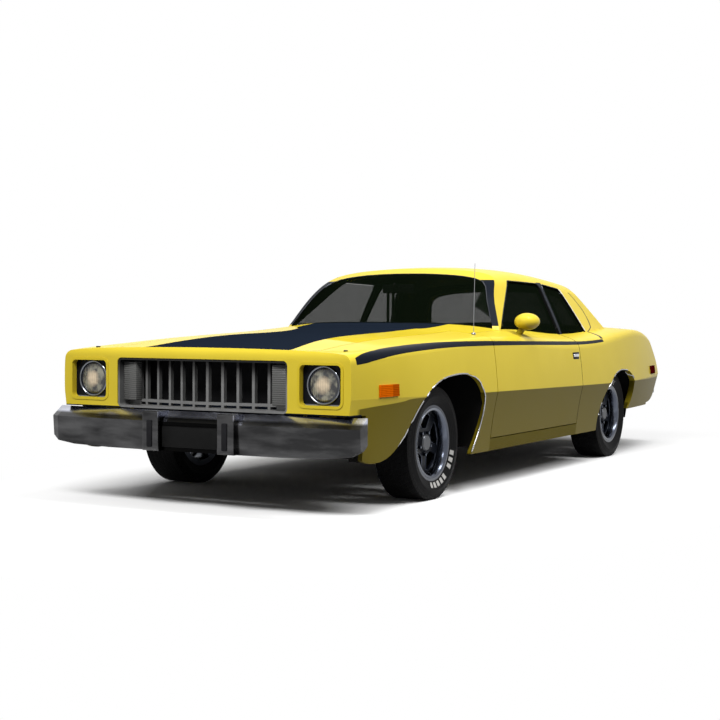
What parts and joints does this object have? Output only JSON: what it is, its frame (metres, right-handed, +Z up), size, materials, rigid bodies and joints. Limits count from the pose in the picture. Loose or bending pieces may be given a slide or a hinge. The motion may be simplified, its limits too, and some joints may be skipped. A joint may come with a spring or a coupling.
{
  "type": "muscle car",
  "caption": "Long-nosed coupe with steered front wheels, opening doors, hood and trunk lid, chrome bumpers, bucket seats and a hollow cabin.",
  "frame": {"origin": "On the ground, at the centre of the overall length and width.", "axes": "+X to the car's left, +Y to its rear, +Z up; the front faces -Y."},
  "size_m": [1.9901, 5.431, 1.3646],
  "materials": {
    "yellow_paint": "gloss",
    "black_paint": "gloss",
    "under_paint": "satin",
    "glass": "clear",
    "chrome": "polished",
    "grille": "satin",
    "lamp_glass": "clear",
    "red_lens": "gloss",
    "amber_lens": "gloss",
    "vinyl": "satin",
    "trim_plastic": "matte",
    "engine": "satin",
    "chassis_steel": "satin",
    "exhaust_steel": "satin",
    "rim_paint": "satin",
    "tyre": "matte"
  },
  "bodies": {
    "body": {"cowl": "yellow_paint", "crossmember": "chassis_steel", "dashboard": "trim_plastic", "driveshaft": "chassis_steel", "engine": "engine", "exhaust": "exhaust_steel", "fender_left": "yellow_paint", "fender_right": "yellow_paint", "floor_pan": "under_paint", "front_bumper": "chrome", "front_rails": "under_paint", "fuel_tank": "chassis_steel", "grille": "grille", "headlamps": "lamp_glass", "lamp_bezels": "chrome", "leaf_springs": "chassis_steel", "nose_panel": "yellow_paint", "quarter_glass": "glass", "quarter_panels": "yellow_paint", "rear_axle": "chassis_steel", "rear_bumper": "chrome", "rear_window": "glass", "roof": "yellow_paint", "seats": "vinyl", "side_markers": "amber_lens", "tail_lamps": "red_lens", "windshield": "glass"},
    "door_left": {"door_left": "yellow_paint", "door_glass_left": "glass", "mirror_left": "yellow_paint"},
    "door_right": {"door_right": "yellow_paint", "door_glass_right": "glass"},
    "hood": {"hood": "black_paint"},
    "trunk_lid": {"trunk_lid": "yellow_paint"},
    "steering_wheel": {"steering_wheel": "trim_plastic"},
    "knuckle_left": {"knuckle_left": "chassis_steel"},
    "knuckle_right": {"knuckle_right": "chassis_steel"},
    "wheel_front_left": {"rim_front_left": "rim_paint", "tyre_front_left": "tyre"},
    "wheel_front_right": {"rim_front_right": "rim_paint", "tyre_front_right": "tyre"},
    "wheel_rear_left": {"rim_rear_left": "rim_paint", "tyre_rear_left": "tyre"},
    "wheel_rear_right": {"rim_rear_right": "rim_paint", "tyre_rear_right": "tyre"}
  },
  "joints": [
    {"name": "steer_left", "type": "hinge", "parent": "body", "child": "knuckle_left", "pos_m": [0.7, -1.6255, 0.315], "axis": [0, 0, 1], "range_deg": [-33, 33]},
    {"name": "steer_right", "type": "hinge", "parent": "body", "child": "knuckle_right", "pos_m": [-0.7, -1.6255, 0.315], "axis": [0, 0, 1], "range_deg": [-33, 33]},
    {"name": "steering_turn", "type": "hinge", "parent": "body", "child": "steering_wheel", "pos_m": [0.37, -0.2955, 0.79], "axis": [0, 0.9063, 0.4226], "range_deg": [-528, 528]},
    {"name": "wheel_front_left_spin", "type": "hinge", "parent": "knuckle_left", "child": "wheel_front_left", "pos_m": [0.786, -1.6255, 0.315], "axis": [1, 0, 0], "continuous": true},
    {"name": "wheel_front_right_spin", "type": "hinge", "parent": "knuckle_right", "child": "wheel_front_right", "pos_m": [-0.786, -1.6255, 0.315], "axis": [1, 0, 0], "continuous": true},
    {"name": "wheel_rear_left_spin", "type": "hinge", "parent": "body", "child": "wheel_rear_left", "pos_m": [0.7875, 1.2955, 0.315], "axis": [1, 0, 0], "continuous": true},
    {"name": "wheel_rear_right_spin", "type": "hinge", "parent": "body", "child": "wheel_rear_right", "pos_m": [-0.7875, 1.2955, 0.315], "axis": [1, 0, 0], "continuous": true},
    {"name": "door_left_hinge", "type": "hinge", "parent": "body", "child": "door_left", "pos_m": [0.976, -0.9045, 0.6], "axis": [0, 0, -1], "range_deg": [0, 65]},
    {"name": "door_right_hinge", "type": "hinge", "parent": "body", "child": "door_right", "pos_m": [-0.976, -0.9045, 0.6], "axis": [0, 0, 1], "range_deg": [0, 65]},
    {"name": "hood_hinge", "type": "hinge", "parent": "body", "child": "hood", "pos_m": [0, -0.9655, 0.954], "axis": [-1, 0, 0], "range_deg": [0, 52]},
    {"name": "trunk_lid_hinge", "type": "hinge", "parent": "body", "child": "trunk_lid", "pos_m": [0, 1.8355, 0.961], "axis": [1, 0, 0], "range_deg": [0, 70]}
  ],
  "couplings": [
    {"joint": "steer_right", "follows": "steer_left", "ratio": 1},
    {"joint": "steering_turn", "follows": "steer_left", "ratio": 16}
  ]
}
